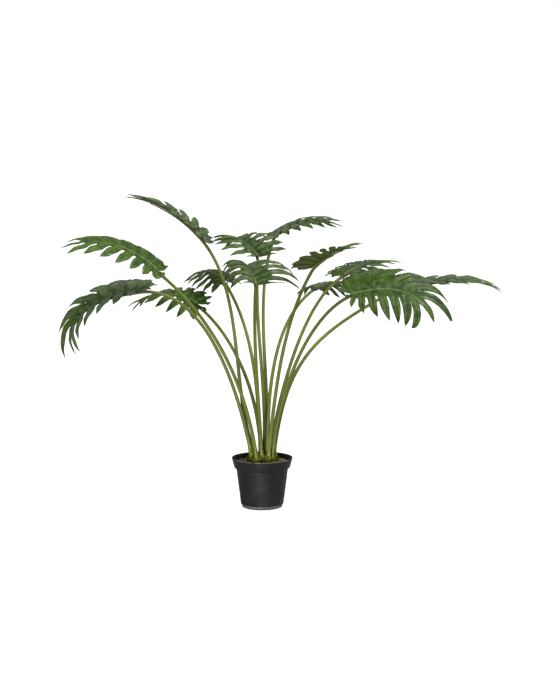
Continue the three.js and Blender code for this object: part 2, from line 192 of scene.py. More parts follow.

# The raised ridge along the middle of a blade, with its radii in millimetres at both ends.
# RIDGE_RUN is the run that it starts at, past the painted shade on the lower part of the stems' paint.
RIDGE_STEPS = 40
RIDGE_SIDES = 8
RIDGE_REACH = 0.96
RIDGE_LIFT = 0.25 * MM
RIDGE_RADII = (1.8, 0.4)
RIDGE_RUN = 0.40

# One entry for each frond, with the CAD's values in millimetres and degrees. foot, low, high
# and neck are the petiole's Bezier points. heading, rise and roll aim the blade at its neck,
# droop and bend arch its midrib towards the tip, twist turns it on the way, back lifts the
# lobes behind the neck, and splay is the angle between the first lobe and the tip. length is
# the blade's, and reach, as a share of it, the last side lobe's. Each of these has a value
# for the left and the right half: width scales the lobes near the neck, fold is the slope
# at the midrib, sag its growth towards the edge, at SAG_REACH of the length out, and cuts
# how far out the basal lobes stay joined.
# Three are the looks' own: tone runs from 0, a deep green, to 1, a fresh one, painted_sheen is
# how grey the painted sheen on the blade's upper face looks, and veined how much its veins and
# pleats show, with the painted shade in their creases.
# USUAL holds what most fronds share.
USUAL = dict(bend=1, roll=0, twist=0, splay=150, reach=0.34, painted_sheen=0.0, veined=1)
FRONDS = [
    dict(foot=(-20, 15, 140), low=(-90, 15, 325), high=(-45, 25, 595), neck=(-160, 40, 745),
         length=258, width=(0.9, 0.85), heading=176, rise=49, droop=40, back=600, roll=-20,
         twist=10, fold=(-28, -4), sag=(6, 14), cuts=(0.7, 0.6), tone=0.6, painted_sheen=1.6),
    dict(foot=(-15, -20, 135), low=(-40, -25, 340), high=(-130, -80, 545), neck=(-275, -150, 675),
         length=278, width=(0.5, 1.0), heading=186, rise=45, droop=67, bend=1.1, back=700,
         roll=-30, twist=14, fold=(-8, -8), sag=(34, 44), cuts=(0.76, 0.85), tone=0.5),
    dict(foot=(-29, -3, 140), low=(-55, -5, 285), high=(-140, -35, 620), neck=(-325, -60, 615),
         length=305, width=(0.6, 0.8), heading=182, rise=-10, droop=114, bend=2.2, back=-40,
         roll=-16, twist=-22, fold=(-24, -12), sag=(24, 24), cuts=(0.6, 0.95), reach=0.38,
         tone=0.8, painted_sheen=1.1),
    dict(foot=(-5, 25, 140), low=(-5, 30, 300), high=(-74, 110, 470), neck=(-189, 185, 556),
         length=232, width=(1.15, 1.15), heading=160, rise=33, droop=80, back=230, roll=-15,
         twist=35, fold=(-5, -30), sag=(46, 40), cuts=(0.6, 0.6), tone=0.8, painted_sheen=0.2),
    dict(foot=(-5, 10, 140), low=(-10, 15, 310), high=(-20, 95, 490), neck=(-111, 178, 625),
         length=204, width=(1.15, 1.15), heading=126, rise=28, droop=62, back=100, roll=-15,
         fold=(0, 0), sag=(36, 45), cuts=(0.6, 0.6), tone=0.3),
    dict(foot=(0, -10, 130), low=(-10, -20, 315), high=(-25, -105, 490), neck=(-13, -210, 640),
         length=250, width=(1.45, 2.2), heading=102, rise=34, droop=64, back=250,
         fold=(-62, -38), sag=(110, 46), splay=125, cuts=(0.5, 0.34), tone=0.55, painted_sheen=1.0),
    dict(foot=(5, 40, 135), low=(15, 40, 335), high=(-25, 35, 520), neck=(-10, 30, 700),
         length=240, width=(1.5, 1.45), heading=116, rise=34, droop=60, back=200, roll=-6,
         fold=(-46, -38), sag=(54, 46), splay=120, cuts=(0.5, 0.5), tone=0.5, painted_sheen=0.85),
    dict(foot=(5, 57, 130), low=(35, 55, 310), high=(-36, 175, 564), neck=(30, 250, 751),
         length=215, width=(1.15, 0.9), heading=-10, rise=35, droop=54, back=500, roll=10,
         twist=4, fold=(-12, -12), sag=(20, 30), cuts=(0.76, 0.85), tone=0.3, painted_sheen=0.4),
    dict(foot=(15, 15, 135), low=(15, 20, 295), high=(20, 95, 515), neck=(150, 170, 606),
         length=240, width=(1, 1), heading=60, rise=10, droop=25, back=0, fold=(0, 0),
         sag=(45, 45), cuts=(0.7, 0.7), tone=0.0),
    dict(foot=(17, -29, 135), low=(35, -30, 325), high=(55, -100, 530), neck=(135, -190, 685),
         length=188, width=(1.3, 1.3), heading=-52, rise=33, droop=30, back=150,
         fold=(-28, -16), sag=(15, 15), cuts=(0.9, 0.9), tone=1.0, painted_sheen=0.6),
    dict(foot=(25, 32, 135), low=(30, 30, 250), high=(110, 50, 590), neck=(230, 60, 650),
         length=240, width=(1, 1), heading=50, rise=20, droop=30, back=90, fold=(-13, -14),
         sag=(30, 30), cuts=(0.8, 0.8), tone=0.3),
    dict(foot=(28, -14, 130), low=(40, -15, 300), high=(115, -125, 550), neck=(236, -230, 618),
         length=258, width=(0.8, 0.45), heading=-12, rise=14, droop=92, bend=1.8, back=60,
         roll=42, fold=(-30, 18), sag=(60, 30), cuts=(0.97, 0.4), reach=0.5, tone=0.4,
         painted_sheen=0.4, veined=0.4),
    dict(foot=(32, 4, 140), low=(65, 10, 420), high=(145, 15, 485), neck=(375, 30, 615),
         length=310, width=(0.62, 0.68), heading=4, rise=9, droop=42, bend=2.5, back=0,
         roll=8, fold=(-8, -14), sag=(16, 16), cuts=(0.7, 0.6), tone=0.6, painted_sheen=1.6),
]


def lerp(a, b, t):
    return a + (b - a) * t


def clamp(value, low=0.0, high=1.0):
    return min(max(value, low), high)


def smooth(t):
    t = clamp(t)
    return t * t * (3 - 2 * t)


def metres(point):
    return Vector(point) * MM


def flat(a, b):
    return Vector((a, b))


def mirrored(point):
    """The flat point on the blade's other half."""
    return flat(point.x, -point.y)


def on_circle(radius, k, count):
    """Point k of count on a circle about the Z axis."""
    angle = 2 * math.pi * k / count
    return radius * math.cos(angle), radius * math.sin(angle)


# ---- meshes


class Mesh:
    """Gathers vertices, faces with a material index, and named numbers for the vertices."""

    def __init__(self):
        self.points = []
        self.faces = []
        self.values = {}

    def point(self, place, **values):
        self.points.append(Vector(place))
        for name, value in values.items():
            self.values.setdefault(name, {})[len(self.points) - 1] = value
        return len(self.points) - 1

    def face(self, *corners, material=0):
        ring = list(dict.fromkeys(corners))
        if len(ring) > 2:
            self.faces.append((ring, material))

    def weave(self, rows, flip=False):
        """Faces between each row of vertices and the next."""
        for row, following in zip(rows, rows[1:]):
            for k in range(len(row) - 1):
                ring = (row[k], row[k + 1], following[k + 1], following[k])
                self.face(*(ring[::-1] if flip else ring))

    def sleeve(self, rings):
        """Faces between each closed ring of vertices and the next."""
        self.weave([ring + ring[:1] for ring in rings])

    def add(self, other, material_shift=0):
        start = len(self.points)
        self.points += other.points
        self.faces += [([c + start for c in ring], m + material_shift) for ring, m in other.faces]
        for name, column in other.values.items():
            mine = self.values.setdefault(name, {})
            mine.update({index + start: value for index, value in column.items()})

    def build(self, name, materials):
        data = bpy.data.meshes.new(name)
        data.from_pydata([p[:] for p in self.points], [], [ring for ring, _ in self.faces])
        data.validate()
        for material in materials:
            data.materials.append(material)
        data.polygons.foreach_set("material_index", [m for _, m in self.faces])
        data.polygons.foreach_set("use_smooth", [True] * len(self.faces))
        for title, column in self.values.items():
            values = [column.get(index, 0.0) for index in range(len(self.points))]
            data.attributes.new(title, "FLOAT", "POINT").data.foreach_set("value", values)
        data.update()
        return link(name, data)


def link(name, data):
    """A new object in the scene."""
    made = bpy.data.objects.new(name, data)
    bpy.context.scene.collection.objects.link(made)
    return made


def dress(piece, node):
    """The piece rides on the part's one body and stands for its CAD node."""
    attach(piece, "root")
    if node:
        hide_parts(node)


# ---- materials


class Nodes:
    """Makes and links the nodes of one tree. Most methods give an output socket."""

    def __init__(self, tree):
        self.tree = tree

    def feed(self, socket, value):
        if isinstance(value, bpy.types.NodeSocket):
            self.tree.links.new(value, socket)
        elif isinstance(value, tuple) and len(value) == 3 and socket.type == "RGBA":
            socket.default_value = (*value, 1.0)
        else:
            socket.default_value = value

    def node(self, kind, inputs, output=0, **settings):
        made = self.tree.nodes.new(kind)
        for name, value in settings.items():
            setattr(made, name, value)
        for socket, value in inputs.items():
            self.feed(made.inputs[socket], value)
        return made.outputs[output]

    def place(self):
        return self.node("ShaderNodeTexCoord", {}, "Object")

    def stretched(self, scale):
        return self.node("ShaderNodeMapping", {"Vector": self.place(), "Scale": scale})

    def number(self, name):
        return self.node("ShaderNodeAttribute", {}, "Fac", attribute_name=name)

    def vector(self, x, y, z):
        return self.node("ShaderNodeCombineXYZ", {"X": x, "Y": y, "Z": z})

    def noise(self, where, scale, detail=3.0, rough=0.55):
        inputs = {"Vector": where, "Scale": scale, "Detail": detail, "Roughness": rough}
        return self.node("ShaderNodeTexNoise", inputs, "Fac")

    def cells(self, where, scale):
        return self.node("ShaderNodeTexVoronoi", {"Vector": where, "Scale": scale}, "Distance")

    def math(self, operation, a, b=0.0):
        return self.node("ShaderNodeMath", {0: a, 1: b}, operation=operation)

    def times(self, a, b):
        return self.math("MULTIPLY", a, b)

    def fade(self, value, start, end, first=0.0, last=1.0):
        """first where value is under start, last where it is over end, and smooth between."""
        inputs = {"Value": value, "From Min": start, "From Max": end, "To Min": first, "To Max": last}
        return self.node("ShaderNodeMapRange", inputs, interpolation_type="SMOOTHSTEP")

    def mottle(self, scale, detail, *limits):
        """Noise in the object's own space, faded between its limits."""
        return self.fade(self.noise(self.place(), scale, detail), *limits)

    def mix(self, share, a, b):
        """Colour a where share is 0, and colour b where it is 1."""
        return self.node("ShaderNodeMix", {0: share, 6: a, 7: b}, 2, data_type="RGBA")

    def bump(self, height, distance, strength=1.0):
        inputs = {"Height": height, "Distance": distance, "Strength": strength}
        return self.node("ShaderNodeBump", inputs)


class Paint(Nodes):
    """One procedural material, built round its Principled shader."""

    def __init__(self, name, **constants):
        self.material = bpy.data.materials.new(name)
        self.material.use_nodes = True
        super().__init__(self.material.node_tree)
        self.shader = self.tree.nodes["Principled BSDF"]
        for title, value in constants.items():
            self.shader.inputs[title.replace("_", " ")].default_value = value

    def finish(self, color, roughness, normal=None):
        self.feed(self.shader.inputs["Base Color"], color)
        self.feed(self.shader.inputs["Roughness"], roughness)
        if normal is not None:
            self.feed(self.shader.inputs["Normal"], normal)
        return self.material


def blend_colour(a, b, t):
    return tuple(lerp(p, q, t) for p, q in zip(a, b))


def leaf_marks(paint):
    """How strongly each point shows its lobe's vein, the fine side veins and the web, 0 to 1."""
    rate, lean = 120.0, 16.0
    across, along = paint.number("across"), paint.number("along")
    main = paint.fade(across, 0.03, 0.14, 1.0, 0.0)
    slant = paint.math("SUBTRACT", paint.times(along, rate), paint.times(across, lean))
    fine = paint.fade(paint.math("SINE", slant), 0.55, 1.0)
    web = paint.fade(paint.number("free"), 0.0, 0.4, 1.0, 0.0)
    return main, fine, web


def leaf_top(name, tone, painted_sheen, veined):
    """The satin upper face: green clouds, grey patches of painted sheen, pale veins, a thin pale margin,
    and painted shade on the web and in its creases.
    """
    deep = blend_colour((0.011, 0.024, 0.003), (0.024, 0.060, 0.004), tone)
    fresh = blend_colour((0.038, 0.070, 0.010), (0.076, 0.148, 0.011), tone)
    sheen_grey = blend_colour(fresh, (0.100, 0.124, 0.068), painted_sheen)
    paint = Paint(name, Specular_IOR_Level=0.22)
    main, fine, web = leaf_marks(paint)
    across = paint.number("across")
    color = paint.mix(paint.mottle(26.0, 4.0, 0.40, 0.60), deep, fresh)
    # Painted shade: the web along the midrib is darker than the free lobes.
    color = paint.mix(paint.times(web, 0.5), color, deep)
    # Patches of painted sheen, greyer on the fronds that are given more of it.
    patches = paint.mottle(75.0, 2.0, 0.42, 0.72)
    color = paint.mix(patches, color, sheen_grey)
    color = paint.mix(paint.times(fine, 0.18), color, fresh)
    color = paint.mix(paint.times(main, 0.28 * veined), color, (0.100, 0.150, 0.040))
    # Painted shade in the creases where the web's pleats meet.
    crease_shade = paint.times(web, paint.fade(across, 0.5, 1.0, 0.0, 0.6 * veined))
    color = paint.mix(crease_shade, color, (0.009, 0.018, 0.004))
    margin = paint.fade(across, 0.93, 1.0)
    free = paint.fade(paint.number("free"), 0.0, 0.1)
    edge = paint.times(margin, free)
    color = paint.mix(paint.times(edge, 0.45), color, (0.130, 0.175, 0.060))
    rough = paint.mottle(160.0, 3.0, 0.3, 0.7, 0.31, 0.46)
    grain = paint.noise(paint.place(), 900.0, 2.0)
    relief = paint.math("ADD", paint.times(grain, 0.25), paint.times(fine, -0.6))
    relief = paint.math("SUBTRACT", relief, main)
    return paint.finish(color, rough, paint.bump(relief, 0.25 * MM * veined, 0.7))


def leaf_under(name, tone):
    """The duller lower face, with its veins standing out and painted shade in the web's creases."""
    dull = blend_colour((0.040, 0.062, 0.017), (0.068, 0.107, 0.020), tone)
    pale = blend_colour((0.062, 0.089, 0.028), (0.107, 0.146, 0.033), tone)
    paint = Paint(name, Specular_IOR_Level=0.22)
    main, fine, web = leaf_marks(paint)
    color = paint.mix(paint.mottle(34.0, 4.0, 0.35, 0.65), dull, pale)
    color = paint.mix(paint.times(fine, 0.25), color, pale)
    # Painted shade in the creases where the web's pleats meet.
    crease_shade = paint.times(web, paint.fade(paint.number("across"), 0.45, 1.0, 0.0, 0.75))
    color = paint.mix(crease_shade, color, (0.014, 0.024, 0.006))
    color = paint.mix(paint.times(main, 0.7), color, (0.120, 0.155, 0.052))
    rough = paint.mottle(140.0, 3.0, 0.3, 0.7, 0.52, 0.68)
    relief = paint.math("ADD", paint.times(fine, 0.5), main)
    return paint.finish(color, rough, paint.bump(relief, 0.35 * MM, 0.8))


def stem_paint(name, low, high, streak):
    """Smooth stems: long streaks, browner patches, fine specks, painted shade on their lower part, and a
    paler, tufted foot with painted shade between its tufts.
    """
    paint = Paint(name, Specular_IOR_Level=0.22)
    run, turn = paint.number("run"), paint.number("turn")
    along = paint.vector(paint.times(run, 9.0), paint.times(turn, 5.0), 0.0)
    color = paint.mix(paint.fade(paint.noise(along, 1.0, 4.0), 0.35, 0.65), low, high)
    lines = paint.vector(paint.times(run, 16.0), paint.times(turn, 26.0), 3.0)
    color = paint.mix(paint.fade(paint.noise(lines, 1.0, 2.0), 0.52, 0.72, 0.0, 0.6), color, streak)
    patches = paint.mottle(14.0, 2.0, 0.5, 0.75, 0.0, 0.3)
    color = paint.mix(patches, color, (0.125, 0.105, 0.022))
    # Painted shade, darker towards the lower part of each stem.
    color = paint.mix(paint.fade(run, 0.10, 0.36, 0.68, 0.0), color, (0.048, 0.052, 0.004))
    speck = paint.mottle(520.0, 1.0, 0.66, 0.74, 0.0, 0.35)
    color = paint.mix(speck, color, (0.060, 0.070, 0.022))
    foot = paint.fade(run, 0.0, 0.085, 0.5, 0.0)
    color = paint.mix(foot, color, (0.135, 0.150, 0.010))
    # Painted shade in the gaps between the foot's tufts.
    tuft_gap_shade = paint.mottle(120.0, 4.0, 0.46, 0.60)
    tuft_gap_shade = paint.times(tuft_gap_shade, paint.fade(run, 0.015, 0.06, 0.8, 0.0))
    color = paint.mix(tuft_gap_shade, color, (0.020, 0.022, 0.003))
    rough = paint.fade(paint.noise(lines, 2.0), 0.3, 0.7, 0.36, 0.52)
    ridges = paint.noise(paint.vector(paint.times(run, 12.0), turn, 7.0), 34.0, 2.0)
    return paint.finish(color, rough, paint.bump(ridges, 0.3 * MM, 0.6))


def pot_paint():
    """Black moulded plastic: satin, a little dusty, with flow marks, and edges lightened by scuffs and a
    painted highlight.
    """
    paint = Paint("pot_plastic", Specular_IOR_Level=0.27)
    dust = paint.mottle(24.0, 5.0, 0.42, 0.74)
    color = paint.mix(dust, (0.0032, 0.0032, 0.0036), (0.0070, 0.0070, 0.0070))
    streaks = paint.noise(paint.stretched((60.0, 60.0, 5.0)), 4.0, 3.0)
    color = paint.mix(paint.fade(streaks, 0.55, 0.8, 0.0, 0.4), color, (0.018, 0.018, 0.0175))
    # Edges lightened by scuffs and by a painted highlight along them.
    scuff_and_highlight = paint.number("edge")
    edge_mottle = paint.mottle(210.0, 4.0, 0.28, 0.6)
    color = paint.mix(paint.times(scuff_and_highlight, edge_mottle), color, (0.120, 0.120, 0.117))
    rough = paint.mottle(60.0, 4.0, 0.3, 0.7, 0.36, 0.46)
    grain = paint.noise(paint.place(), 1500.0, 2.0)
    rings = paint.noise(paint.stretched((2.0, 2.0, 900.0)), 1.0, 2.0)
    relief = paint.math("ADD", grain, paint.times(rings, 1.4))
    return paint.finish(color, rough, paint.bump(relief, 0.12 * MM, 0.6))


def soil_paint():
    """Moist potting mix: dark peat with paler fibres and reddish crumbs."""
    paint = Paint("potting_mix", Specular_IOR_Level=0.2)
    clumps = paint.noise(paint.place(), 70.0, 6.0, 0.7)
    color = paint.mix(paint.fade(clumps, 0.38, 0.62), (0.056, 0.038, 0.020), (0.260, 0.175, 0.104))
    crumbs = paint.cells(paint.place(), 420.0)
    color = paint.mix(paint.fade(crumbs, 0.1, 0.45, 0.55, 0.0), color, (0.270, 0.180, 0.125))
    shade = paint.number("shade")
    color = paint.mix(paint.fade(shade, 0.45, 1.0, 0.0, 0.7), color, (0.310, 0.215, 0.145))
    grain = paint.math("ADD", paint.noise(paint.place(), 620.0, 5.0, 0.7), crumbs)
    return paint.finish(color, 0.93, paint.bump(grain, 0.9 * MM, 0.9))


def floor_paint():
    """A matt floor that glows white to the camera, so that shadows on it stay faint."""
    paint = Paint("studio_floor", Specular_IOR_Level=0.1, Emission_Color=(*WHITE, 1.0))
    seen = paint.node("ShaderNodeLightPath", {}, "Is Camera Ray")
    paint.feed(paint.shader.inputs["Emission Strength"], paint.times(seen, 0.85))
    patches = paint.noise(paint.place(), 1.5, 2.0)
    return paint.finish(paint.mix(patches, (0.29, 0.29, 0.29), (0.31, 0.31, 0.31)), 0.9)


# ---- the blade


class Frond:
    """One frond's values in metres and radians, its blade's flat outline and its midrib."""

    def __init__(self, index, own_values):
        self.values = values = {**USUAL, **own_values}
        self.index = index
        self.number = f"{index + 1:02d}"
        self.foot, self.low, self.high, self.neck = (
            metres(values[key]) for key in ("foot", "low", "high", "neck")
        )
        self.length = values["length"] * MM
        self.slopes = [math.radians(angle) for angle in values["fold"]]
        self.growths = [math.radians(angle) / (SAG_REACH * self.length) for angle in values["sag"]]
        self.sample_midrib()

    # The flat outline: x runs along the midrib from the neck, y to one side.

    def lobe(self, i, half):
        x = i / (LOBES - 1)
        start = self.length * LAST_LOBE_START * x ** LOBE_CROWDING
        angle = math.radians(lerp(self.values["splay"], LAST_LOBE_ANGLE, x ** ANGLE_EASE))
        share = lerp(BASAL_REACH, self.values["reach"], x)
        share += MIDDLE_SWELL * math.sin(math.pi * x ** SWELL_EASE)
        return start, angle, self.length * lerp(self.values["width"][half], 1, x) * share

    def centre(self, i, u, half):
        """A point on the centre line of lobe i, which curls towards the tip; u is 0 to 1."""
        if i == LOBES:
            return flat(self.length * lerp(TIP_LOBE_START, 1, u), 0)
        start, angle, reach = self.lobe(i, half)
        curl = math.radians(LOBE_CURL) * lerp(0.5, 1, min(1, i / 3))
        first = angle + curl * 0.4
        last = first - curl * u
        along = reach * (math.sin(first) - math.sin(last)) / curl
        out = reach * (math.cos(last) - math.cos(first)) / curl
        return flat(start + along, out)

    def seam(self, i, u, half):
        """The line between lobe i - 1 and lobe i; 0 is the basal edge."""
        if i == 0:
            _, angle, reach = self.lobe(0, half)
            angle += math.radians(BASAL_EDGE_ANGLE)
            reach = u * reach * BASAL_EDGE_REACH
            return flat(reach * math.cos(angle), reach * math.sin(angle))
        return (self.centre(i - 1, u, half) + self.centre(i, u, half)) / 2

    # The midrib's curve in space, sampled from behind the neck to the tip.

    def sample_midrib(self):
        v = self.values
        self.step = self.length / MIDRIB_STEPS
        self.first = -STEPS_BEHIND * self.step
        samples = STEPS_BEHIND + MIDRIB_STEPS + 1
        heading = math.radians(v["heading"])
        level = Vector((-math.sin(heading), math.cos(heading), 0))
        self.tangents, self.sides, self.normals = [], [], []
        for k in range(samples + 1):
            x = (k - STEPS_BEHIND) / MIDRIB_STEPS
            bend = v["back"] * x if x < 0 else -v["droop"] * x ** v["bend"]
            pitch = math.radians(v["rise"] + bend)
            roll = math.radians(v["roll"] + v["twist"] * clamp(x))
            tangent = Vector((
                math.cos(pitch) * math.cos(heading),
                math.cos(pitch) * math.sin(heading),
                math.sin(pitch),
            ))
            up = tangent.cross(level)
            self.tangents.append(tangent)
            self.sides.append(level * math.cos(roll) + up * math.sin(roll))
            self.normals.append(up * math.cos(roll) - level * math.sin(roll))
        self.places = [None] * (samples + 1)
        self.places[STEPS_BEHIND] = self.neck
        for way, end in ((1, samples + 1), (-1, -1)):
            for k in range(STEPS_BEHIND + way, end, way):
                mean = self.tangents[k - way] + self.tangents[k]
                self.places[k] = self.places[k - way] + mean * (way * self.step / 2)

    def at(self, samples, a):
        """The midrib's sample at a, blended from the two beside it."""
        place = clamp((a - self.first) / self.step, 0, len(samples) - 1.001)
        k = int(place)
        return samples[k].lerp(samples[k + 1], place - k)

    def folded(self, point, height=0.0):
        """The flat point on the folded and sagging blade, lifted off it by height."""
        a, b = point
        half, sign = (0, 1) if b > 0 else (1, -1)
        slope, growth = self.slopes[half], self.growths[half]
        end = slope + growth * abs(b)
        out = (math.sin(end) - math.sin(slope)) / growth
        down = (math.cos(slope) - math.cos(end)) / growth
        side, normal = self.at(self.sides, a), self.at(self.normals, a)
        tilted = normal * math.cos(end) + side * (sign * math.sin(end))
        return self.at(self.places, a) + side * (sign * out) - normal * down + tilted * height

    def under(self, a, radius):
        """The centre of a rod of this radius that lies under the blade's midrib at a."""
        drop = (radius + CAD_THICKNESS / 2 + GAP) * RIB_SEAT
        return self.at(self.places, a) - self.at(self.normals, a) * drop


def cut_depth(frond, i, half):
    """How far out along its lobes the cut between lobe i - 1 and lobe i ends.

    A half that is cut little at its base stays whole for more lobes before the cuts deepen.
    """
    basal = frond.values["cuts"][half]
    whole = 1 + 10 * max(0.0, basal - WHOLE_BASE)
    return lerp(basal, DISTAL_CUT, smooth((i - whole) / CUT_SPREAD))


def lobe_profile(i, t):
    """Half width of free lobe i, against 1 at the cut; t is 0 at the cut and 1 at the tip."""
    return (1 + 0.35 * t - 0.25 * t * t) * (1 - t ** lerp(1.5, 3.0, min(1, i / 4)))


def free_edge(frond, i, half, u, cut, seam_index, sign, widest, middle):
    """The edge of lobe i at u, past the rounded end of its cut."""
    centre = frond.centre(i, u, half)
    run = (frond.centre(i, u + 0.01, half) - centre).normalized()
    across = flat(-run.y, run.x) * sign
    t = clamp((u - middle) / (1 - middle))
    full = widest * lobe_profile(i, t)
    if i == 0 and seam_index == 0:
        return centre + across * full
    seam = frond.seam(seam_index, u, half)
    if i == LOBES and sign < 0:
        seam = mirrored(seam)
    gap = (seam - centre).length
    opened = clamp((u - cut) / CUT_ROUNDING)
    opened = math.sqrt(1 - (1 - opened) ** 2)
    reach = lerp(gap, min(full, LOBE_FILL * gap), opened)
    towards = (seam - centre) / max(gap, 1e-9)
    return centre + towards.lerp(across, opened).normalized() * reach


def lobe_rows(frond, i, half):
    """Rows of (low edge, centre, high edge, u, free) from the midrib to the lobe's tip."""
    low = cut_depth(frond, i, half)
    high = low if i == LOBES else cut_depth(frond, i + 1, half)
    middle = (low + high) / 2
    first = frond.seam(i, low, half)
    last = mirrored(first) if i == LOBES else frond.seam(i + 1, high, half)
    root_half = (first - last).length / 2
    least, most = LOBE_HALF_WIDTH
    widest = clamp(root_half * LOBE_NARROWING, frond.length * least, frond.length * most)
    rows = []
    for k in range(WEB_ROWS + 1):
        t = k / WEB_ROWS
        before = frond.seam(i, low * t, half)
        after = mirrored(before) if i == LOBES else frond.seam(i + 1, high * t, half)
        centre = frond.centre(i, middle * t, half)
        if i == LOBES:
            centre = frond.seam(i, 0, half).lerp(frond.centre(i, middle, half), t)
        rows.append((before, centre, after, middle * t, t - 1))
    for k in range(1, FREE_ROWS):
        t = (1 - math.cos(math.pi * k / FREE_ROWS)) / 2
        edges = []
        for cut, seam_index, sign in ((low, i, 1), (high, i if i == LOBES else i + 1, -1)):
            u = lerp(cut, 1, t)
            edges.append(free_edge(frond, i, half, u, cut, seam_index, sign, widest, middle))
        u = lerp(middle, 1, t)
        rows.append((edges[0], frond.centre(i, u, half), edges[1], u, t))
    tip = frond.centre(i, 1, half)
    rows.append((tip, tip, tip, 1.0, 1.0))
    return rows


def relief(v, free, half, phase, u, veined):
    """How far the blade stands off its smooth form: pleats, puffed lobes and wavy edges."""
    scale = min(1.0, half / FULL_RELIEF)
    groove = -GROOVE_DEPTH * math.exp(-((v * half / GROOVE_WIDTH) ** 2))
    pleat = veined * PLEAT_HEIGHT * (1 - math.cos(math.pi * v)) / 2
    puff = PUFF_HEIGHT * scale * math.sin(math.pi * abs(v) ** 0.8)
    wave = WAVE_HEIGHT * scale * v * v * math.sin(phase + WAVE_RATE * u)
    if free < 0:
        return (groove + pleat * math.sin(math.pi / 2 * (free + 1))) * min(1, (free + 1) * 3)
    loose = smooth(free / 0.3)
    taper = 1 - smooth((free - 0.75) / 0.25)
    return groove * taper + lerp(pleat, puff + wave, loose) * taper


def lobe_grid(frond, i, half, phase, droop):
    """Rows of flat points, each with its height off the blade, across, along and free."""
    grid = []
    for before, centre, after, u, free in lobe_rows(frond, i, half):
        spread = (before - after).length / 2
        bend = droop * smooth(free) * max(free, 0.0)
        line = []
        for v in ACROSS:
            point = centre.lerp(before if v < 0 else after, abs(v))
            height = relief(v, free, spread, phase, u, frond.values["veined"]) - bend
            line.append((mirrored(point) if half else point, height, abs(v), u, free))
        grid.append(line)
    return grid


def blade_sheet(frond):
    """The blade's middle surface: a web along the midrib, and the lobes that it is cut into."""
    sheet = Mesh()
    shared = {}
    draw = random.Random(frond.index + 11)

    def corner(point, height, across, along, free):
        key = (round(point.x, 6), round(point.y, 6))
        if key not in shared:
            place = frond.folded(point, height)
            shared[key] = sheet.point(place, across=across, along=along, free=max(free, 0.0))
        return shared[key]

    for i in range(LOBES + 1):
        for half in (0, 1) if i < LOBES else (0,):
            phase = draw.uniform(0, 2 * math.pi)
            droop = draw.uniform(*LOBE_DROOP) * frond.length
            grid = lobe_grid(frond, i, half, phase, droop)
            sheet.weave([[corner(*entry) for entry in line] for line in grid], flip=half == 1)
    return sheet


def thickened(sheet, thickness):
    """The sheet with a thickness: material 0 above, and 1 below and round the rim."""
    normals = [Vector() for _ in sheet.points]
    edges = {}  # keeps its keys, the directed edges, in order
    for ring, _ in sheet.faces:
        a, b, c = (sheet.points[k] for k in ring[:3])
        normal = (b - a).cross(c - a)
        for k, corner in enumerate(ring):
            normals[corner] += normal
            edges[(corner, ring[(k + 1) % len(ring)])] = True
    body = Mesh()
    count = len(sheet.points)
    for sign in (0.5, -0.5):
        for index, place in enumerate(sheet.points):
            values = {name: column[index] for name, column in sheet.values.items()}
            body.point(place + normals[index].normalized() * thickness * sign, **values)
    for ring, _ in sheet.faces:
        body.face(*ring)
        body.face(*[corner + count for corner in reversed(ring)], material=1)
    for a, b in edges:
        if (b, a) not in edges:
            body.face(a, a + count, b + count, b, material=1)
    return body


# ---- rods and stems


def rod(points, radii, sides=ROD_SIDES, start=0.0, section=None):
    """A closed rod along the points. section(angle, run) scales its radius."""
    body = Mesh()
    across = Vector((1, 0, 0))
    run = start
    rings = []
    for k, place in enumerate(points):
        ahead = points[min(k + 1, len(points) - 1)]
        behind = points[max(k - 1, 0)]
        tangent = (ahead - behind).normalized()
        across = (across - tangent * across.dot(tangent)).normalized()
        other = tangent.cross(across)
        if k:
            run += (place - points[k - 1]).length
        ring = []
        for s in range(sides):
            angle = 2 * math.pi * s / sides
            radius = radii[k] * (section(angle, run) if section else 1.0)
            offset = across * (radius * math.cos(angle)) + other * (radius * math.sin(angle))
            ring.append(body.point(place + offset, run=run, turn=abs(1 - 2 * s / sides)))
        rings.append(ring)
    body.sleeve(rings)
    body.face(*reversed(rings[0]))
    body.face(*rings[-1])
    return body


class Curve:
    """A Bezier curve that gives the point at each run along it."""

    def __init__(self, *handles):
        self.points = interpolate_bezier(*handles, CURVE_SAMPLES)
        self.runs = [0.0]
        for a, b in zip(self.points, self.points[1:]):
            self.runs.append(self.runs[-1] + (b - a).length)
        self.length = self.runs[-1]

    def at(self, run):
        k = clamp(bisect_left(self.runs, run), 1, len(self.runs) - 1)
        share = (run - self.runs[k - 1]) / (self.runs[k] - self.runs[k - 1])
        return self.points[k - 1].lerp(self.points[k], share)


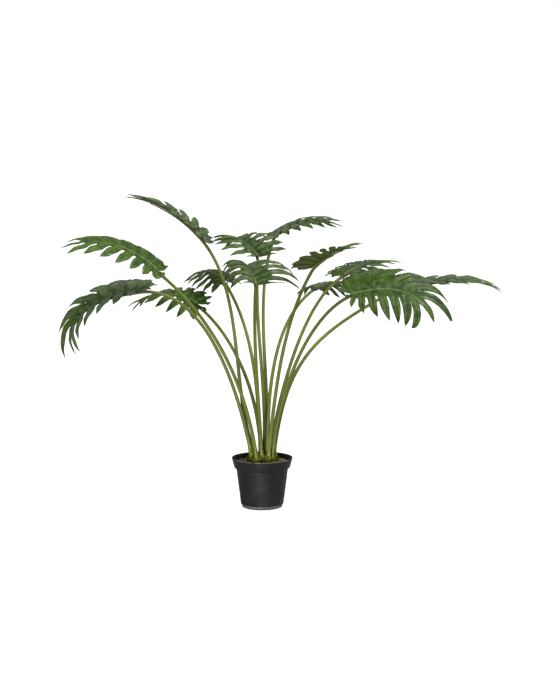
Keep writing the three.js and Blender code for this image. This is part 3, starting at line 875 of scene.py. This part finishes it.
def petiole_line(frond, sheath):
    """The petiole's centre line and radii, from its root to the tip of the midrib rod."""
    foot, top = frond.foot, frond.under(0, PETIOLE_TOP_RADIUS)
    curve = Curve(foot, frond.low, frond.high, top)
    line = [
        (Vector((foot.x, foot.y, SOIL_TOP - ROOT_DEPTH)), ROOT_RADIUS),
        (Vector((foot.x, foot.y, SOIL_TOP - ROOT_TAPER)), ROOT_RADIUS),
        (Vector((foot.x, foot.y, SOIL_TOP)), ROOT_RADIUS * ROOT_SWELL),
    ]
    for k in range(PETIOLE_STEPS + 1):
        run = (curve.length - ELBOW) * (k / PETIOLE_STEPS) ** PETIOLE_CROWDING
        stem = lerp(PETIOLE_LOW_RADIUS, PETIOLE_TOP_RADIUS, run / curve.length)
        swollen = 1 - smooth((run - sheath * SHEATH_HOLD) / (sheath * SHEATH_TAPER))
        knuckle = KNUCKLE_SWELL * math.exp(-(((curve.length - ELBOW - run) / KNUCKLE_REACH) ** 2))
        line.append((curve.at(run), lerp(stem, SHEATH_RADIUS, swollen) + knuckle))
    start, end = line[-1][0], frond.under(ELBOW, PETIOLE_TOP_RADIUS)
    for t in (0.2, 0.4, 0.6, 0.8):
        a, b = start.lerp(top, t), top.lerp(end, t)
        line.append((a.lerp(b, t), PETIOLE_TOP_RADIUS))
    for k in range(ROD_STEPS + 1):
        t = k / ROD_STEPS
        radius = lerp(PETIOLE_TOP_RADIUS, MIDRIB_TIP_RADIUS, t)
        line.append((frond.under(lerp(ELBOW, frond.length * MIDRIB_REACH, t), radius), radius))
    return zip(*line)


def petiole(frond, material):
    """A petiole and its midrib rod, from the root to under the blade."""
    sheath = SHEATH_HEIGHTS[frond.index % len(SHEATH_HEIGHTS)] * MM
    points, radii = petiole_line(frond, sheath)
    buried = SOIL_TOP - ROOT_DEPTH - frond.foot.z
    phase = frond.index * 1.7

    def section(angle, run):
        """Slightly ribbed, and open on one side of the sheath."""
        ribs = 1 + RIB_DEPTH * math.sin(RIBS * angle + phase)
        groove = SHEATH_GROOVE * math.exp(-((angle - math.pi) / GROOVE_ANGLE) ** 2)
        return ribs - groove * (1 - smooth((run - sheath * GROOVE_HOLD) / sheath))

    body = rod(points, radii, start=buried, section=section)
    dress(body.build(f"stem_{frond.number}", [material]), f"petiole_{frond.number}")


def bract(frond, material, turn):
    """A ragged scale leaf, fibrous at its top, that clasps the petiole's foot."""
    draw = random.Random(frond.index * 7 + turn + 71)
    height = draw.uniform(*BRACT_HEIGHT) * MM
    facing = draw.uniform(0, 2 * math.pi)
    wrap = math.radians(draw.uniform(*BRACT_WRAP))
    axis = (frond.low - frond.foot).normalized()
    base = Vector((frond.foot.x, frond.foot.y, SOIL_TOP - 3 * MM))
    flare = draw.uniform(*BRACT_FLARE) * MM
    torn = [draw.uniform(*BRACT_TEAR) for _ in range(BRACT_COLUMNS + 1)]
    inner = SHEATH_RADIUS + BRACT_SPACING * (1 + 0.5 * turn)
    sheet = Mesh()
    grid = []
    for j in range(BRACT_ROWS + 1):
        t = j / BRACT_ROWS
        spread = wrap * (1 - BRACT_TAPER * t ** 1.6)
        line = []
        for k in range(BRACT_COLUMNS + 1):
            s = 2 * k / BRACT_COLUMNS - 1
            angle = facing + s * spread
            lift = height * t * (1 - BRACT_SLOPE * s * s) * lerp(1, torn[k], t)
            radius = inner + flare * t ** 2.5 + BRACT_PLEAT * math.cos(3 * math.pi * s)
            out = Vector((math.cos(angle), math.sin(angle), 0)) * radius
            line.append(sheet.point(base + axis * lift + out, run=lift, turn=abs(s)))
        grid.append(line)
    sheet.weave(grid)
    body = thickened(sheet, BRACT_THICKNESS)
    dress(body.build(f"bract_{frond.number}_{turn + 1}", [material, material]), None)


def ridge(frond):
    """The raised ridge along a blade's middle."""
    points, radii = [], []
    for k in range(RIDGE_STEPS + 1):
        t = k / RIDGE_STEPS
        lift = frond.at(frond.normals, frond.length * t) * RIDGE_LIFT
        points.append(frond.folded(flat(frond.length * (RIDGE_REACH * t), 0)) + lift)
        radii.append(lerp(*RIDGE_RADII, t ** 0.8) * MM)
    return rod(points, radii, sides=RIDGE_SIDES, start=RIDGE_RUN)


def blade(frond, rib_material):
    """A blade with the ridge on its middle, and its own two leaf paints."""
    v = frond.values
    body = thickened(blade_sheet(frond), THICKNESS)
    body.add(ridge(frond), material_shift=2)
    top = leaf_top(f"leaf_top_{frond.number}", v["tone"], v["painted_sheen"], v["veined"])
    under = leaf_under(f"leaf_under_{frond.number}", v["tone"])
    piece = body.build(f"blade_{frond.number}", [top, under, rib_material])
    dress(piece, f"leaf_{frond.number}")


# ---- pot and soil


def rounded(profile):
    """The profile, with each corner between its ends rounded."""
    made = [profile[0]]
    for before, corner, after in zip(profile, profile[1:], profile[2:]):
        a, b, c = Vector(before), Vector(corner), Vector(after)
        reach = min(ROUNDING, (a - b).length * 0.45, (c - b).length * 0.45)
        start = b + (a - b).normalized() * reach
        end = b + (c - b).normalized() * reach
        for k in range(ROUNDING_STEPS + 1):
            t = k / ROUNDING_STEPS
            made.append(tuple(start.lerp(b, t).lerp(b.lerp(end, t), t)))
    return made + [profile[-1]]


def turned(profile, scuff_and_highlight):
    """A closed body turned about the Z axis. Its edges at the listed heights carry scuffs and a painted
    highlight.
    """
    body = Mesh()
    rings = []
    for radius, z in profile:
        edge = max(0.0, *(1 - abs(z - height) / SCUFF_AND_HIGHLIGHT_REACH for height in scuff_and_highlight))
        if radius == 0:
            rings.append([body.point((0, 0, z), edge=0.0)] * POT_SIDES)
        else:
            places = [(*on_circle(radius, s, POT_SIDES), z) for s in range(POT_SIDES)]
            rings.append([body.point(place, edge=edge) for place in places])
    body.sleeve(rings)
    return body


def drilled(piece):
    """The pot's mesh with its drainage holes cut through the floor."""
    drill = Mesh()
    for k in range(DRAIN_COUNT):
        x, y = on_circle(DRAIN_CIRCLE, k + 0.5, DRAIN_COUNT)
        ends = [Vector((x, y, -1 * MM)), Vector((x, y, FLOOR + 1 * MM))]
        drill.add(rod(ends, [DRAIN_RADIUS] * 2, sides=DRAIN_SIDES))
    cutter = drill.build("drain_cutter", [])
    cut = piece.modifiers.new("drains", "BOOLEAN")
    cut.object = cutter
    cut.solver = "EXACT"
    seen = piece.evaluated_get(bpy.context.evaluated_depsgraph_get())
    data = bpy.data.meshes.new_from_object(seen)
    piece.modifiers.clear()
    bpy.data.objects.remove(cutter)
    return data


def pot(material):
    """The nursery pot, its outside and its inside in one profile."""
    profile = [
        (0, 0),
        (FOOT_RADIUS - 4 * MM, 0),
        (FOOT_RADIUS - 1 * MM, 1.2 * MM),
        (FOOT_RADIUS, FOOT_HEIGHT),
        (BODY_LOW_RADIUS, FOOT_HEIGHT + 1.5 * MM),
        (BODY_TOP_RADIUS, COLLAR_LOW - 1.5 * MM),
        (COLLAR_LOW_RADIUS - 1 * MM, COLLAR_LOW),
        (COLLAR_LOW_RADIUS, COLLAR_LOW + 1.5 * MM),
        (RIM_RADIUS - 1 * MM, POT_HEIGHT - 2.5 * MM),
        (RIM_RADIUS, POT_HEIGHT - 1.2 * MM),
        (RIM_RADIUS - 0.5 * MM, POT_HEIGHT),
        (RIM_RADIUS - 2 * MM, POT_HEIGHT),
        (RIM_RADIUS - 1 * MM - WALL, POT_HEIGHT - 2 * MM),
        (COLLAR_LOW_RADIUS - WALL, COLLAR_LOW + 2.5 * MM),
        (BODY_TOP_RADIUS - WALL, COLLAR_LOW + 0.5 * MM),
        (BODY_LOW_RADIUS - WALL, FOOT_HEIGHT + 3 * MM),
        (FOOT_RADIUS - WALL, FOOT_HEIGHT),
        (FOOT_RADIUS - WALL - 2 * MM, FLOOR),
        (0, FLOOR),
    ]
    # Heights of the edges that get scuffs and a painted highlight: the rim's top and both sides of the
    # foot's step.
    scuff_and_highlight = (POT_HEIGHT, FOOT_HEIGHT + 0.8 * MM, FOOT_HEIGHT - 0.8 * MM)
    piece = turned(rounded(profile), scuff_and_highlight).build("nursery_pot", [material])
    piece.data = drilled(piece)
    piece.data.set_sharp_from_angle(angle=math.radians(40))
    dress(piece, "pot")


def soil_height(x, y):
    """The lumpy surface of the potting mix, a little mounded towards the stems."""
    place = Vector((x, y, 0))
    lumps = LUMP_HEIGHT * noise.fractal(place * LUMP_RATE, 0.8, 2.1, 4)
    crumbs = CRUMB_HEIGHT * noise.noise(place * CRUMB_RATE)
    mound = MOUND_HEIGHT * math.exp(-((place.length / MOUND_RADIUS) ** 2))
    return SOIL_TOP - SOIL_DIP + mound + lumps + crumbs


def soil(material):
    """The potting mix: a body that fills the pot up to its lumpy top."""
    inset = WALL + SOIL_GAP
    edge = COLLAR_LOW_RADIUS - inset + 2.2 * MM
    levels = [
        (FOOT_RADIUS - inset - 2.4 * MM, FLOOR + 0.4 * MM),
        (FOOT_RADIUS - inset, FOOT_HEIGHT + 0.4 * MM),
        (BODY_LOW_RADIUS - inset, FOOT_HEIGHT + 3.4 * MM),
        (BODY_TOP_RADIUS - inset, COLLAR_LOW + 1 * MM),
        (COLLAR_LOW_RADIUS - inset, COLLAR_LOW + 3 * MM),
    ]
    levels += [(edge * (1 - k / SOIL_RINGS), None) for k in range(SOIL_RINGS)]
    body = Mesh()
    rings = [[body.point((0, 0, FLOOR + 0.4 * MM), shade=0.0)] * SOIL_SIDES]
    for radius, z in levels:
        ring = []
        for s in range(SOIL_SIDES):
            x, y = on_circle(radius, s, SOIL_SIDES)
            height = soil_height(x, y) if z is None else z
            shade = clamp(0.5 + noise.noise(Vector((x, y, 3)) * 38))
            ring.append(body.point((x, y, height), shade=shade))
        rings.append(ring)
    rings.append([body.point((0, 0, soil_height(0, 0)), shade=0.0)] * SOIL_SIDES)
    body.sleeve(rings)
    dress(body.build("soil_bed", [material]), "soil")


def chip(shell, layer, draw, x, y):
    """One angular chip, added to the shell: the hull of points on a squashed ball."""
    size = Vector([draw.uniform(*span) for span in CHIP_SIZES]) * MM
    turn = draw.uniform(0, math.pi)
    shade = draw.random()
    place = Vector((x, y, soil_height(x, y) + size.z * CHIP_LIFT))
    corners = []
    for _ in range(CHIP_CORNERS):
        point = Vector([draw.gauss(0, 1) for _ in range(3)]).normalized() * size
        spun = Vector((
            point.x * math.cos(turn) - point.y * math.sin(turn),
            point.x * math.sin(turn) + point.y * math.cos(turn),
            point.z,
        ))
        vertex = shell.verts.new(spun + place)
        vertex[layer] = shade
        corners.append(vertex)
    hull = bmesh.ops.convex_hull(shell, input=corners)
    spare = [v for v in hull["geom_interior"] if isinstance(v, bmesh.types.BMVert)]
    bmesh.ops.delete(shell, geom=spare, context="VERTS")


def chips(fronds, material):
    """Bits of bark and peat that lie loose on the soil, clear of the stems."""
    draw = random.Random(5)
    clear = ROOT_RADIUS + CHIP_CLEARANCE
    limit = COLLAR_LOW_RADIUS - WALL - CHIP_CLEARANCE
    shell = bmesh.new()
    layer = shell.verts.layers.float.new("shade")
    made = 0
    while made < CHIP_COUNT:
        radius, angle = limit * math.sqrt(draw.random()), draw.uniform(0, 2 * math.pi)
        x, y = radius * math.cos(angle), radius * math.sin(angle)
        if all(math.hypot(x - f.foot.x, y - f.foot.y) >= clear for f in fronds):
            chip(shell, layer, draw, x, y)
            made += 1
    data = bpy.data.meshes.new("soil_chips")
    shell.to_mesh(data)
    shell.free()
    data.materials.append(material)
    dress(link("soil_chips", data), None)


# ---- stage


def stage():
    """The studio floor, a wide disc."""
    floor = Mesh()
    centre = floor.point((0, 0, 0))
    places = [(*on_circle(FLOOR_RADIUS, s, FLOOR_SIDES), 0) for s in range(FLOOR_SIDES)]
    floor.sleeve([[floor.point(place) for place in places], [centre] * FLOOR_SIDES])
    floor.build("studio_floor", [floor_paint()])


def put(name, data, direction, place):
    """Puts a lamp or the camera in the studio, pointing along a direction."""
    holder = link(name, data)
    holder.rotation_euler = Vector(direction).to_track_quat("-Z", "Y").to_euler()
    holder.location = place
    return holder


def sun(name, strength, direction, spread):
    """Light from a distant disc that is spread degrees across."""
    lamp = bpy.data.lights.new(name, "SUN")
    lamp.energy = strength
    lamp.angle = math.radians(spread)
    put(name, lamp, direction, (0, 0, 0)).visible_camera = False


def softbox(name, strength, place, aim, size, spread):
    """Light from a rectangle at place, facing aim, in a beam spread degrees wide."""
    lamp = bpy.data.lights.new(name, "AREA")
    lamp.shape = "RECTANGLE"
    lamp.size, lamp.size_y = size
    lamp.spread = math.radians(spread)
    lamp.energy = strength
    put(name, lamp, Vector(aim) - Vector(place), place).visible_camera = False


def backdrop():
    """White to the camera, and to all else a dim sky that brightens towards +Y."""
    world = bpy.data.worlds.new("studio")
    bpy.context.scene.world = world
    world.use_nodes = True
    nodes = Nodes(world.node_tree)
    way = nodes.node("ShaderNodeTexCoord", {}, "Generated")
    depth = nodes.node("ShaderNodeSeparateXYZ", {"Vector": way}, "Y")
    dim = world.node_tree.nodes["Background"]
    nodes.feed(dim.inputs["Color"], WHITE)
    nodes.feed(dim.inputs["Strength"], nodes.fade(depth, -0.2, 0.9, 0.06, 0.6))
    bright = nodes.node("ShaderNodeBackground", {"Color": WHITE, "Strength": 1.1})
    seen = nodes.node("ShaderNodeLightPath", {}, "Is Camera Ray")
    chosen = nodes.node("ShaderNodeMixShader", {0: seen, 1: dim.outputs[0], 2: bright})
    nodes.feed(world.node_tree.nodes["World Output"].inputs["Surface"], chosen)


def studio_light():
    """A key from the upper right, fills from the front and the right, and two low boxes."""
    sun("key_light", 3.6, (-0.55, 0.42, -1.0), 20)
    sun("fill_light", 1.3, (0.3, 0.9, -0.5), 34)
    sun("right_light", 1.1, (-1.0, 0.45, -0.45), 50)
    softbox("low_box", 2.5, (-0.20, -1.15, 0.10), (0, 0, 0.07), (0.35, 0.25), 60)
    softbox("front_box", 14.0, (-0.9, -2.2, 0.10), (0.1, 0, 0.65), (1.2, 0.8), 120)
    bpy.context.scene.view_settings.view_transform = "Standard"


def camera():
    data = bpy.data.cameras.new("camera")
    data.lens = CAMERA_LENS
    data.clip_end = CAMERA_REACH
    bpy.context.scene.camera = put("camera", data, CAMERA_AIM - CAMERA_PLACE, CAMERA_PLACE)


camera()
backdrop()
studio_light()
stage()
pot(pot_paint())
mix_paint = soil_paint()
soil(mix_paint)
fronds = [Frond(index, values) for index, values in enumerate(FRONDS)]
chips(fronds, mix_paint)
stem = stem_paint("stem", (0.060, 0.080, 0.008), (0.120, 0.146, 0.017), (0.210, 0.235, 0.058))
rib = stem_paint("rib", (0.120, 0.160, 0.055), (0.170, 0.210, 0.080), (0.230, 0.260, 0.115))
scale_leaf = stem_paint("scale_leaf", (0.070, 0.085, 0.008), (0.190, 0.205, 0.022), (0.270, 0.245, 0.070))
for each in fronds:
    petiole(each, stem)
    for turn in range(BRACTS):
        bract(each, scale_leaf, turn)
    blade(each, rib)
